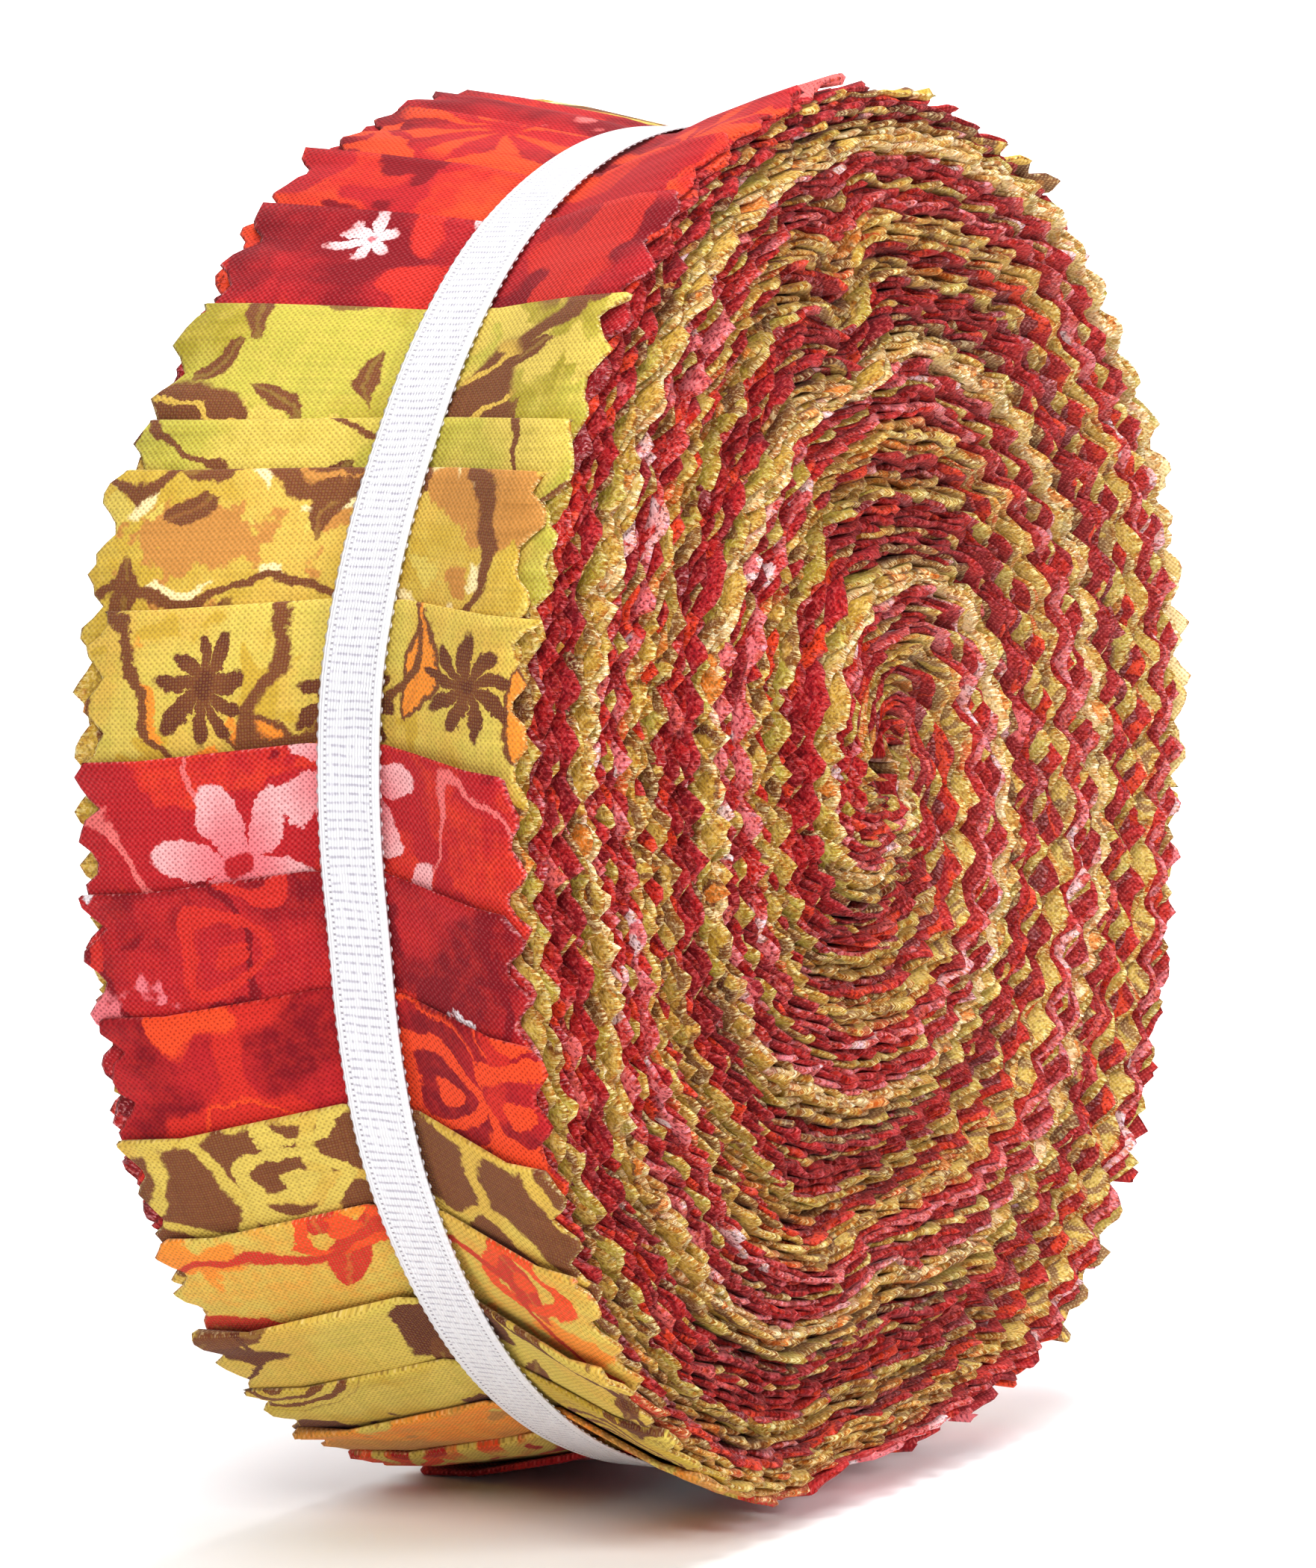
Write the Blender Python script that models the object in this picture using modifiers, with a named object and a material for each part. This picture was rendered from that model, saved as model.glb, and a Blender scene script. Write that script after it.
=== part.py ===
"""A roll of forty pinked cotton strips, wound as one stack and standing on its rim.

Seen from the front, with the camera at -Y, +X is right and +Z is up. The roll's
axis runs along Y. Each strip's outer end shows on the rim as a loose end that the
next strip's end overlaps, so the ends lie like shingles all the way round. A ribbon
round the middle draws in a waist, and the two pinked edges flare on either side.
"""
import math

import bpy

TURN = 2.0 * math.pi

# Driving dimensions in metres
STRIP_WIDTH = 0.0635
ROLL_RADIUS = 0.095
REST_DEPTH = 0.0025
TURN_PITCH = 0.030
TOOTH_DEPTH = 0.0032
LOOSE_END_THICKNESS = 0.0010
GAP = 0.0003
WAIST_DEPTH = 0.0060
RIBBON_WIDTH = 0.010
RIBBON_THICKNESS = 0.0010
RIBBON_Y = -0.004
BULK_HALF_WIDTH = 0.0292
BULK_INSET = 0.0034
CORE_RADIUS = 0.006
CORE_RECESS = 0.004

CENTRE_X = 0.0003
CENTRE_Z = ROLL_RADIUS - REST_DEPTH
STEPS = 160
STEP = TURN / STEPS

# Columns: angle in degrees, change of the rim's radius in mm at the front, at the back
RIM_SHAPE = [
    (0, -1.5, -1.0),
    (20, 1.0, 0.5),
    (40, 0.0, 0.0),
    (58, 1.0, 0.5),
    (72, -1.0, 0.0),
    (90, -0.5, 0.0),
    (106, 1.0, 0.5),
    (128, 0.5, -0.5),
    (148, -0.5, -1.0),
    (168, 1.0, 0.5),
    (188, -1.0, -1.5),
    (206, 1.0, 1.0),
    (228, 1.4, 1.2),
    (240, 2.4, 2.2),
    (249, 3.2, 3.2),
    (258, 2.0, 2.2),
    (270, 0.0, 0.5),
    (278, -1.5, -1.0),
    (292, -3.5, -2.0),
    (304, -1.5, -1.0),
    (316, 1.5, 1.0),
    (338, 0.5, 0.5),
    (360, -1.5, -1.0),
]

# Columns: place across the width in mm, share of the waist's depth
WAIST = [
    (-31.75, 0.06),
    (-21.0, 0.30),
    (-9.5, 1.00),
    (1.5, 1.00),
    (13.0, 0.42),
    (31.75, 0.05),
]

# Columns: row of the stack on the end faces, how far it stands out in mm
STACK_RELIEF = [
    (0, 0.4),
    (1, -1.2),
    (2, 1.0),
    (3, -0.8),
    (4, -0.6),
    (5, 2.6),
]
STACK_ROWS = len(STACK_RELIEF)
FACE_STATIONS = 60

# Columns: the strip's end in steps of 2.25 degrees counter-clockwise from +X, its print
STRIP_ENDS = [
    (3, "cream"), (7, "gold"), (11, "cream"), (15, "olive"),
    (18, "crimson"), (22, "rose"), (26, "brown"), (30, "maroon"),
    (34, "poppy"), (37, "mustard"), (41, "crimson"), (44, "crimson"),
    (47, "poppy"), (52, "orange"), (56, "maroon"), (61, "olive"),
    (66, "olive"), (68, "mustard"), (73, "gold"), (78, "crimson"),
    (83, "maroon"), (88, "poppy"), (93, "brown"), (97, "orange"),
    (101, "gold"), (104, "mustard"), (107, "orange"), (111, "gold"),
    (115, "crimson"), (119, "rose"), (123, "poppy"), (127, "maroon"),
    (131, "crimson"), (135, "olive"), (139, "rose"), (143, "crimson"),
    (147, "maroon"), (151, "rose"), (155, "mustard"), (159, "cream"),
]
STRIPS = len(STRIP_ENDS)

# Columns: print's name, colour of the cloth
PRINT_COLOURS = {
    "crimson": (0.46, 0.03, 0.04),
    "poppy": (0.68, 0.07, 0.03),
    "orange": (0.74, 0.22, 0.04),
    "maroon": (0.28, 0.03, 0.05),
    "olive": (0.45, 0.38, 0.05),
    "mustard": (0.62, 0.40, 0.05),
    "gold": (0.72, 0.52, 0.06),
    "brown": (0.28, 0.12, 0.05),
    "cream": (0.72, 0.58, 0.26),
    "rose": (0.66, 0.16, 0.17),
}


def between(table, x, column=1):
    """Straight-line value of a table's column at x, carried on past its two ends."""
    last = len(table) - 1
    i = 0
    while i < last - 1 and x > table[i + 1][0]:
        i += 1
    low, high = table[i], table[i + 1]
    share = (x - low[0]) / (high[0] - low[0])
    return low[column] + share * (high[column] - low[column])


def rim_radius(angle, y):
    """Radius of the wound strips' outer surface at an angle and a place across the width.

    The floor presses the flared edges flat where they would reach below it.
    """
    degrees = math.degrees(angle) % 360.0
    front = between(RIM_SHAPE, degrees, 1)
    back = between(RIM_SHAPE, degrees, 2)
    share = y / STRIP_WIDTH + 0.5
    radius = ROLL_RADIUS + 0.001 * (front + share * (back - front))
    radius = radius - WAIST_DEPTH * between(WAIST, y * 1000.0)
    down = -math.sin(angle)
    if down > 0.5:
        radius = min(radius, CENTRE_Z / down)
    return radius


def place(angle, radius, y):
    """Point at an angle and a distance from the roll's axis."""
    return (CENTRE_X + radius * math.cos(angle), y, CENTRE_Z + radius * math.sin(angle))


def add_object(name, points, faces, material, parent_collection, smooth=True):
    """Object made from a surface's points and faces."""
    mesh = bpy.data.meshes.new(name)
    mesh.from_pydata(points, [], faces)
    mesh.update()
    if smooth:
        mesh.shade_smooth()
        mesh.set_sharp_from_angle(angle=math.radians(50))
    mesh.materials.append(material)
    thing = bpy.data.objects.new(name, mesh)
    parent_collection.objects.link(thing)
    return thing


def add_material(name, colour, roughness):
    """Plain cloth material of one colour."""
    material = bpy.data.materials.new(name)
    material.use_nodes = True
    shader = material.node_tree.nodes["Principled BSDF"]
    shader.inputs["Base Color"].default_value = (*colour, 1.0)
    shader.inputs["Roughness"].default_value = roughness
    shader.inputs["Metallic"].default_value = 0.0
    material.diffuse_color = (*colour, 1.0)
    return material


def thicken(thing, thickness, offset):
    """Gives an open surface its thickness."""
    solid = thing.modifiers.new("thickness", "SOLIDIFY")
    solid.thickness = thickness
    solid.offset = offset
    solid.use_rim = True


def stagger(number):
    """Sideways shift of one strip, from a plain repeating rule, within 1.8 mm."""
    return 0.0018 * math.sin(2.4 * number + 0.7)


def end_step(number):
    """Step of a strip's end, counted on round the rim past the last strip."""
    return STRIP_ENDS[number % STRIPS][0] + STEPS * (number // STRIPS)


def dip(number, step):
    """How many ends cover a strip at a step, easing in over the two steps before each."""
    covering = 0.0
    for later in range(number + 1, number + 4):
        covering += min(1.0, max(0.0, (step - end_step(later) + 2) / 2.0))
    return covering


def loose_end_surface(number):
    """Outer surface of one strip's loose end.

    It starts at the strip's end edge and runs counter-clockwise. It keeps to the rim,
    dips under the next strip's end, and stops below it. Tips and notches take turns
    along both side edges.
    """
    first = end_step(number)
    covered = end_step(number + 1)
    stop = min(covered + 2, end_step(number + 2) - 1)
    steps = list(range(first, covered + 1)) + [stop]
    columns = [row[0] * 0.001 for row in WAIST]
    last = len(columns) - 1
    points = []
    for step in steps:
        angle = step * STEP
        tooth = TOOTH_DEPTH * ((step + number) % 2)
        depth = dip(number, step) * (LOOSE_END_THICKNESS + GAP)
        for i, y in enumerate(columns):
            if i == 0:
                y = y + tooth + stagger(number)
            if i == last:
                y = y - tooth + stagger(number)
            points.append(place(angle, rim_radius(angle, y) - depth, y))
    faces = []
    wide = len(columns)
    for s in range(len(steps) - 1):
        for i in range(last):
            a = s * wide + i
            faces.append((a, a + 1, a + wide + 1, a + wide))
    return points, faces


def ribbon_surface():
    """Inner surface of the ribbon, a closed band that lies on the waist."""
    points = []
    for s in range(STEPS):
        angle = s * STEP
        radius = rim_radius(angle, RIBBON_Y) + GAP
        points.append(place(angle, radius, RIBBON_Y - RIBBON_WIDTH / 2))
        points.append(place(angle, radius, RIBBON_Y + RIBBON_WIDTH / 2))
    faces = []
    for s in range(STEPS):
        a = 2 * s
        b = 2 * ((s + 1) % STEPS)
        faces.append((a, a + 1, b + 1, b))
    return points, faces


def kink(angle, radius):
    """Inward push of the stack where it was folded over, near the top of the face."""
    turn_away = math.degrees(angle) % 360.0 - 105.0
    near = math.exp(-(turn_away / 8.0) ** 2)
    inside = math.exp(-((radius - 0.072) / 0.012) ** 2)
    return 0.0035 * near * inside


def bulk_surface():
    """Closed surface of the wound bulk under the loose ends.

    The rows of each end face follow the stack's spiral: a row moves in by one turn's
    pitch in a full turn and then runs on as the row six below it. A row is cut off
    where it meets the rim or the core. The rows stand out by turns, as the stack does.
    """
    points = []
    faces = []
    count = FACE_STATIONS
    row_pitch = TURN_PITCH / STACK_ROWS
    rows = int((ROLL_RADIUS * 1.1) / row_pitch) + 1
    close = 0.3 * row_pitch

    def station_angle(i):
        return i * TURN / count

    def ring(y):
        first = len(points)
        for i in range(count):
            angle = station_angle(i)
            points.append(place(angle, rim_radius(angle, y) - BULK_INSET, y))
        return [first + i for i in range(count)]

    def end_face(side, rim):
        core_first = len(points)
        core_y = side * (BULK_HALF_WIDTH - CORE_RECESS)
        for i in range(count):
            points.append(place(station_angle(i), CORE_RADIUS, core_y))
        made = {}

        def corner(j, i):
            if i == count:
                return corner(j + STACK_ROWS, 0)
            if (j, i) in made:
                return made[(j, i)]
            angle = station_angle(i)
            edge = rim_radius(angle, side * BULK_HALF_WIDTH) - BULK_INSET
            radius = edge - row_pitch * j - TURN_PITCH * i / count
            if radius > edge - close:
                index = rim[i]
            elif radius < CORE_RADIUS + close:
                index = core_first + i
            else:
                fade = min(1.0, (radius - CORE_RADIUS) / 0.015)
                relief = 0.001 * fade * STACK_RELIEF[j % STACK_ROWS][1]
                radius = radius - kink(angle, radius)
                points.append(place(angle, radius, side * (BULK_HALF_WIDTH + relief)))
                index = len(points) - 1
            made[(j, i)] = index
            return index

        def add_face(corners):
            kept = []
            for c in corners:
                if c not in kept:
                    kept.append(c)
            if len(kept) > 2:
                faces.append(tuple(kept if side > 0 else reversed(kept)))

        for i in range(count):
            for j in range(-STACK_ROWS, rows):
                add_face([corner(j, i), corner(j + 1, i), corner(j + 1, i + 1), corner(j, i + 1)])
        points.append((CENTRE_X, core_y, CENTRE_Z))
        middle = len(points) - 1
        for i in range(count):
            add_face([core_first + i, middle, core_first + (i + 1) % count])

    columns = [-BULK_HALF_WIDTH] + [row[0] * 0.001 for row in WAIST[1:-1]] + [BULK_HALF_WIDTH]
    rings = [ring(y) for y in columns]
    for near, far in zip(rings[:-1], rings[1:]):
        for i in range(count):
            k = (i + 1) % count
            faces.append((near[i], far[i], far[k], near[k]))
    end_face(-1, rings[0])
    end_face(1, rings[-1])
    return points, faces


def clear_scene():
    """Removes whatever the file opened with."""
    for thing in list(bpy.data.objects):
        bpy.data.objects.remove(thing, do_unlink=True)


clear_scene()
collection = bpy.data.collections.new("jelly_roll_fabric_strips")
bpy.context.scene.collection.children.link(collection)

bulk_points, bulk_faces = bulk_surface()
bulk_material = add_material("wound_cotton", (0.42, 0.12, 0.05), 0.9)
add_object("roll", bulk_points, bulk_faces, bulk_material, collection)

for n in range(STRIPS):
    print_name = STRIP_ENDS[n][1]
    end_points, end_faces = loose_end_surface(n)
    end_material = add_material(f"cotton_{n + 1:02d}_{print_name}", PRINT_COLOURS[print_name], 0.88)
    end = add_object(f"strip_end_{n + 1:02d}", end_points, end_faces, end_material, collection)
    thicken(end, LOOSE_END_THICKNESS, -1.0)

band_points, band_faces = ribbon_surface()
band_material = add_material("white_ribbon", (0.85, 0.84, 0.86), 0.6)
band = add_object("ribbon", band_points, band_faces, band_material, collection)
thicken(band, RIBBON_THICKNESS, 1.0)
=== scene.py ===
"""A roll of forty pinked cotton strips with a white ribbon round its waist.

The strips are wound together as one stack. Seen from the front, with the camera
at -Y, each strip runs outward clockwise, and its end lies on the rim, over the end
of the strip before it and under the end of the one after.
"""

import math

import bpy
import numpy as np
from mathutils import Matrix, Vector


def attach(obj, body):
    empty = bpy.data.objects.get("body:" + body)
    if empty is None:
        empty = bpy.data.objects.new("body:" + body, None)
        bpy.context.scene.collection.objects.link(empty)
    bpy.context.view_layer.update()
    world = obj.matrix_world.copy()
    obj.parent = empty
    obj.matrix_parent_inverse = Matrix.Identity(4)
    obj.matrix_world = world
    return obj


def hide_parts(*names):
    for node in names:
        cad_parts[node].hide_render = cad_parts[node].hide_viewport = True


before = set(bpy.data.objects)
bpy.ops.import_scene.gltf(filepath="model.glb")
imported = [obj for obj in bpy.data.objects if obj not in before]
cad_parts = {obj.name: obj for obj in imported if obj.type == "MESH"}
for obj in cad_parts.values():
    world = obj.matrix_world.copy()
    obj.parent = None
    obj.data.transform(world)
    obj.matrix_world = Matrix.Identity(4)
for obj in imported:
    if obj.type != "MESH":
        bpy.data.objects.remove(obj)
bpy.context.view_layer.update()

# Sizes in metres, angles in degrees counter-clockwise from +X as seen from the front
STRIP_WIDTH = 0.0635
ROLL_RADIUS = 0.095
CENTRE_X = 0.0003
CENTRE_Z = 0.0925
WAIST_DEPTH = 0.0060
RIBBON_Y = -0.0041
RIBBON_WIDTH = 0.0088
STEP_DEGREES = 2.25
PLY = 0.00075
CLOTH = 0.00042
THREAD = 0.00076
TOOTH_PITCH = 0.0080
TOOTH_DEPTH = 0.0029
STATIONS_PER_TOOTH = 6
EDGE_BAND = 0.0006
END_CAP = 0.0004
PLIES_WOUND = 124
CORE_STAGGER = (1.6, -2.0, 0.4, -3.4)
CORE_LIFT = 0.0034
RIM_FADE = 0.048
ALIGNED_ANGLE = -20.0
FIRST_STRIP = 8
LOOP = 16
WAIST_RADIUS = 0.0905
RIB_PITCH = 0.0011
PIN_PITCH = 0.00075
RIBBON_YARN = 0.00040
EDGE_LOOP_PITCH = 0.0017
VIEW_AZIMUTH = -61.15

# Radians in a full turn, as the materials' sines read it
FULL_TURN = 6.283

# Columns: angle, change of the rim's radius in mm at the front, at the back
RIM_SHAPE = np.array([
    (0, -1.5, -1.0), (20, 1.0, 0.5), (40, 0.0, 0.0), (58, 1.0, 0.5), (72, -1.5, -0.5),
    (90, -1.9, -1.7), (106, -0.7, -1.2), (128, 0.5, -0.9), (148, -0.5, -1.0), (168, 1.0, 0.5),
    (188, -1.0, -1.5), (206, 1.0, 1.0), (228, 1.0, 0.9), (240, 0.5, 0.2), (249, 0.8, -1.2),
    (258, 0.8, -1.2), (270, 0.0, 0.0), (278, -1.5, -1.0), (292, -2.2, -1.2),
    (304, 0.8, 0.0), (316, 2.6, 1.0), (338, 0.5, 0.5), (360, -1.5, -1.0)])

# Columns: angle, how far the front edges are tucked in under the roll, in mm
TUCK = np.array([
    (0, 0), (243, 0), (249, 1.5), (255, 4.2), (261, 5.5), (268, 6.0), (274, 6.3), (281, 5.0),
    (287, 3.4), (297, 0.5), (304, 0), (360, 0)])

# Columns: place across the width in mm, share of the waist's depth
WAIST = np.array([(-36.0, 0.0), (-31.75, 0.04), (-26.5, 0.12), (-21.0, 0.30), (-15.0, 0.66),
                  (-9.5, 0.98), (-4.0, 1.0), (1.5, 0.98), (7.0, 0.72), (13.0, 0.42),
                  (21.0, 0.18), (31.75, 0.03), (36.0, 0.0)])

# Columns: the strip's end in steps of 2.25 degrees, its print, its side shift in mm
STRIPS = [
    (3, "cream_daisy", -1.9), (7, "gold_leaf", -1.0), (11, "cream_leaf", -2.2),
    (15, "olive_vine", -0.6), (18, "crimson_marble", 0.8), (22, "rose_daisy", 0.5),
    (26, "brown_scroll", -1.0), (30, "maroon_marble", -0.5), (34, "poppy_streak", 0.2),
    (37, "mustard_scroll", -0.6), (41, "crimson_marble", 0.6), (44, "crimson_spray", 0.0),
    (47, "poppy_streak", -1.2), (52, "orange_leaf", 0.4), (56, "maroon_daisy", -0.6),
    (61, "olive_vine", 0.6), (66, "lime_bud", 0.4), (68, "mustard_scroll", 2.2),
    (73, "gold_star", 0.2), (78, "scarlet_daisy", 0.9), (82.4, "crimson_blot", 1.2),
    (86.6, "crimson_paisley", -0.2), (90.8, "giraffe", -0.3), (94.8, "orange_vine", -0.2),
    (99.2, "gold_blot", 1.2), (103, "mustard_rings", 0.4), (106.4, "orange_marble", 0.3),
    (111, "gold_streak", 1.0), (115, "crimson_marble", -0.7), (119, "rose_daisy", -1.4),
    (123, "poppy_streak", -0.3), (127, "maroon_marble", -1.6), (131, "crimson_paisley", -0.6),
    (135, "olive_vine", -1.7), (139, "rose_daisy", -0.4), (143, "crimson_marble", -1.3),
    (147, "maroon_marble", -0.2), (151, "rose_daisy", -1.0), (155, "mustard_scroll", -0.6),
    (159, "cream_leaf", -1.5)]
COUNT = len(STRIPS)
CREAM_GROUP = (38, 39, 0, 1, 2)
ENDS = np.array([row[0] for row in STRIPS]) * STEP_DEGREES
TURNS = np.arange(-1, 6)[:, None]
END_ANGLES = (ENDS[None, :] + 360.0 * TURNS).ravel()
END_PLIES = (np.arange(COUNT)[None, :] + COUNT * TURNS).ravel()


def plies_at(degrees):
    """Plies passed at an unwrapped angle: the index of the strip that ends there, between
    whole numbers in a straight line, and forty more after each full turn."""
    return np.interp(degrees, END_ANGLES, END_PLIES)


def angle_of(plies):
    """Unwrapped angle at which that many plies are passed, the inverse of plies_at."""
    return np.interp(plies, END_PLIES, END_ANGLES)


def waist_share(y):
    """Share of the waist's depth at a place across the width, from the table's columns."""
    return np.interp(y * 1000.0, WAIST[:, 0], WAIST[:, 1])


def rolled_radius(degrees, y, depth):
    """Radius of a ply at an angle, a place across the width and a depth below the rim.

    Radius = roll's radius - depth + rim's shape, less the waist and the tuck. The shape,
    the waist and the tuck fade out with depth as a bell curve. The tuck grows from the
    waist to the front edge, and the floor presses the lowest part flat.
    """
    turned = np.mod(degrees, 360.0)
    front = np.interp(turned, RIM_SHAPE[:, 0], RIM_SHAPE[:, 1])
    back = np.interp(turned, RIM_SHAPE[:, 0], RIM_SHAPE[:, 2])
    shape = 0.001 * (front + (y / STRIP_WIDTH + 0.5) * (back - front))
    shape = shape - WAIST_DEPTH * waist_share(y)
    tuck = np.interp(turned, TUCK[:, 0], TUCK[:, 1]) * np.clip((-0.006 - y) / 0.0255, 0.0, 1.2) ** 1.5
    outer = ROLL_RADIUS + shape - 0.001 * tuck
    down = -np.sin(np.radians(turned))
    floor_limit = CENTRE_Z / np.maximum(down, 0.5)
    outer = np.where(down > 0.5, np.minimum(outer, floor_limit - 0.001 * tuck), outer)
    fade = np.exp(-(depth / RIM_FADE) ** 2)
    return ROLL_RADIUS - depth + (outer - ROLL_RADIUS) * fade


def wave(values, seed, scale):
    """Smooth wave noise, mostly from -1 to 1: five sines of unlike lengths and phases,
    added up and divided by three."""
    picks = np.random.default_rng(seed)
    total = np.zeros_like(values)
    for _ in range(5):
        total += np.sin(values * (picks.uniform(0.6, 1.9) / scale) * 2 * math.pi + picks.uniform(0, 7))
    return total / 3.0


def settle(degrees, radius):
    """Radius of a point after the stack has settled, its lift, and its squeeze in x.

    The stack dips near 101 degrees in a W, where it was folded over: one bell curve in and
    two smaller ones out. Slow sine waves push the plies in and out together, so that no two
    cross. The core sits a little above the roll's middle and is narrower than it is high.
    """
    turned = np.mod(degrees, 360.0)
    away = turned - 101.0
    inside = np.exp(-((radius - 0.068) / 0.016) ** 2)
    dip = 0.0046 * np.exp(-(away / 4.6) ** 2) - 0.0020 * np.exp(-((away - 12.0) / 6.0) ** 2)
    dip -= 0.0009 * np.exp(-((away + 13.0) / 7.0) ** 2)
    angle = np.radians(degrees)
    x = radius * np.cos(angle)
    z = radius * np.sin(angle)
    slack = np.clip((ROLL_RADIUS - 0.003 - radius) / 0.012, 0.0, 1.0)
    push = 0.0009 * np.sin(x * 160 + 1.0) * np.sin(z * 130 + 0.4)
    push += 0.0007 * np.sin(x * 90 - z * 150 + 2.0)
    push += 0.0004 * np.sin(x * 300 + z * 210)
    radius = radius - dip * inside * slack + push * slack
    lift = CORE_LIFT * np.clip(1.0 - radius / ROLL_RADIUS, 0.0, 1.0)
    squeeze = 1.0 - 0.28 * np.exp(-(radius / 0.022) ** 2)
    return radius, lift, squeeze


def put_mesh(name, points, faces, uv, marks):
    """Mesh object from arrays of points, arrays of faces, one UV for each point, and marks:
    named values of each point, for the material to read."""
    mesh = bpy.data.meshes.new(name)
    corners = np.concatenate([face.ravel() for face in faces]).astype(np.int32)
    sizes = np.concatenate([np.full(len(face), face.shape[1]) for face in faces]).astype(np.int32)
    starts = np.concatenate([[0], np.cumsum(sizes)[:-1]]).astype(np.int32)
    mesh.vertices.add(len(points))
    mesh.vertices.foreach_set("co", points.astype(np.float32).ravel())
    mesh.loops.add(len(corners))
    mesh.loops.foreach_set("vertex_index", corners)
    mesh.polygons.add(len(sizes))
    mesh.polygons.foreach_set("loop_start", starts)
    mesh.polygons.foreach_set("use_smooth", np.ones(len(sizes), dtype=bool))
    mesh.update(calc_edges=True)
    layer = mesh.uv_layers.new(name="along_and_across")
    layer.data.foreach_set("uv", uv[corners].astype(np.float32).ravel())
    for mark, values in marks.items():
        attribute = mesh.attributes.new(mark, "FLOAT", "POINT")
        attribute.data.foreach_set("value", values.astype(np.float32).ravel())
    mesh.validate()
    thing = bpy.data.objects.new(name, mesh)
    bpy.context.scene.collection.objects.link(thing)
    return thing


def loop_faces(rows, ring, closed):
    """Four-cornered faces that join each loop of points to the next one along the band, and
    the last loop to the first where the band is closed."""
    row = np.arange(rows if closed else rows - 1)[:, None]
    place = np.arange(ring)[None, :]
    next_row = (row + 1) % rows
    next_place = (place + 1) % ring
    corners = [row * ring + place, row * ring + next_place,
               next_row * ring + next_place, next_row * ring + place]
    return np.stack(corners, axis=-1).reshape(-1, 4)


def stations_along(index, wound):
    """Stations along a strip, six to a tooth: distance from its start, angle, whole length.

    The length is angle step times mean radius, added up over a fine spiral. The last
    station lies just past the strip's end, where the cloth closes.
    """
    end_angle = float(angle_of(wound))
    inner_depth = PLIES_WOUND + CORE_STAGGER[index % 4]
    fine = np.linspace(float(angle_of(wound + inner_depth)), end_angle, 4000)
    fine_depth = PLY * (plies_at(fine) - wound)
    fine_radius = rolled_radius(fine, np.full_like(fine, -0.03), fine_depth)
    turn = np.abs(np.diff(np.radians(fine)))
    arc = np.concatenate([[0], np.cumsum(turn * 0.5 * (fine_radius[1:] + fine_radius[:-1]))])
    length = arc[-1]
    spacing = TOOTH_PITCH / STATIONS_PER_TOOTH
    s = length - spacing * np.arange(int(length / spacing), -1, -1.0)
    s = np.concatenate([s, [length + END_CAP]])
    degrees = np.interp(s, arc, fine)
    degrees[-1] = end_angle - math.degrees(END_CAP / ROLL_RADIUS)
    return s, degrees, length


def tooth_phase(index, wound, s, degrees):
    """Phase of the front edge's teeth: whole numbers are notches, halves are tips.

    Phase = radius x angle from the aligned angle / tooth pitch, so neighbours are in step
    there. Where a strip passes the far side, its leftover part of a tooth is spread over 60
    degrees. A slow wave is added, and an offset for each group of five plies.
    """
    around = np.mod(degrees - ALIGNED_ANGLE + 180.0, 360.0) - 180.0
    phase = (ROLL_RADIUS - PLY * (plies_at(degrees) - wound)) * np.radians(around) / TOOTH_PITCH
    for at in np.flatnonzero(np.diff(around) < -180.0):
        jump = phase[at + 1] - phase[at] - 1.0 / STATIONS_PER_TOOTH
        phase[at + 1:] -= jump
        spread = np.clip((degrees - degrees[at] + 30.0) / 60.0, 0.0, 1.0)
        phase += (jump - round(jump)) * spread * spread * (3.0 - 2.0 * spread)
    phase += (0.06 * wave(s, 800 + index, 0.05) + 0.22 * math.sin(2.1 * (wound // 5))
              + 0.04 * math.sin(2.4 * wound))
    return phase


def notch_depths(index, s, phase, picks):
    """How far the front and the back edge are cut in: tooth depth times a zigzag from 0 to 1.

    The front's zigzag is the mean of a straight-sided wave and a cosine wave, so its teeth
    are a little rounded. The back's is straight-sided and three tenths of a tooth further on.
    """
    straight = np.abs(2.0 * np.mod(phase, 1.0) - 1.0)
    zigzag = 0.5 * straight + 0.25 + 0.25 * np.cos(2 * math.pi * phase)
    uneven = 1.0 + 0.15 * wave(s, 900 + index, 0.03)
    notch_front = TOOTH_DEPTH * picks.uniform(0.80, 0.98) * zigzag * uneven
    zigzag_back = np.abs(2.0 * np.mod(phase + 0.3, 1.0) - 1.0) * 1.15 - 0.05
    return notch_front, TOOTH_DEPTH * np.clip(zigzag_back, 0.0, 1.0)


def side_shift(index, s, degrees, from_end, picks):
    """Sideways shift of a strip: its own at its end, which fades further in, slow waves
    along it, and a start in the core that is drawn in."""
    inward = np.clip(from_end / 0.12, 0.0, 1.0)
    fading = 0.55 - 0.45 * np.cos(np.radians(degrees - 78.0)) if index in CREAM_GROUP else 0.45
    own = 0.001 * STRIPS[index][2] * (1.0 - fading * inward)
    slow = 0.0005 * wave(s, 300 + index, 0.12) + 0.0004 * wave(degrees, 400, 300.0)
    shift = own + inward * slow
    shift += inward * 0.0006 * picks.standard_normal()
    shift += picks.uniform(-0.0005, 0.0035) * np.exp(-(s / 0.005) ** 2)
    return shift


def rough(picks, rows, amount):
    """Random unevenness of an edge: normal draws, held within twice the amount."""
    return amount * np.clip(picks.standard_normal(rows), -2.0, 2.0)


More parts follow.
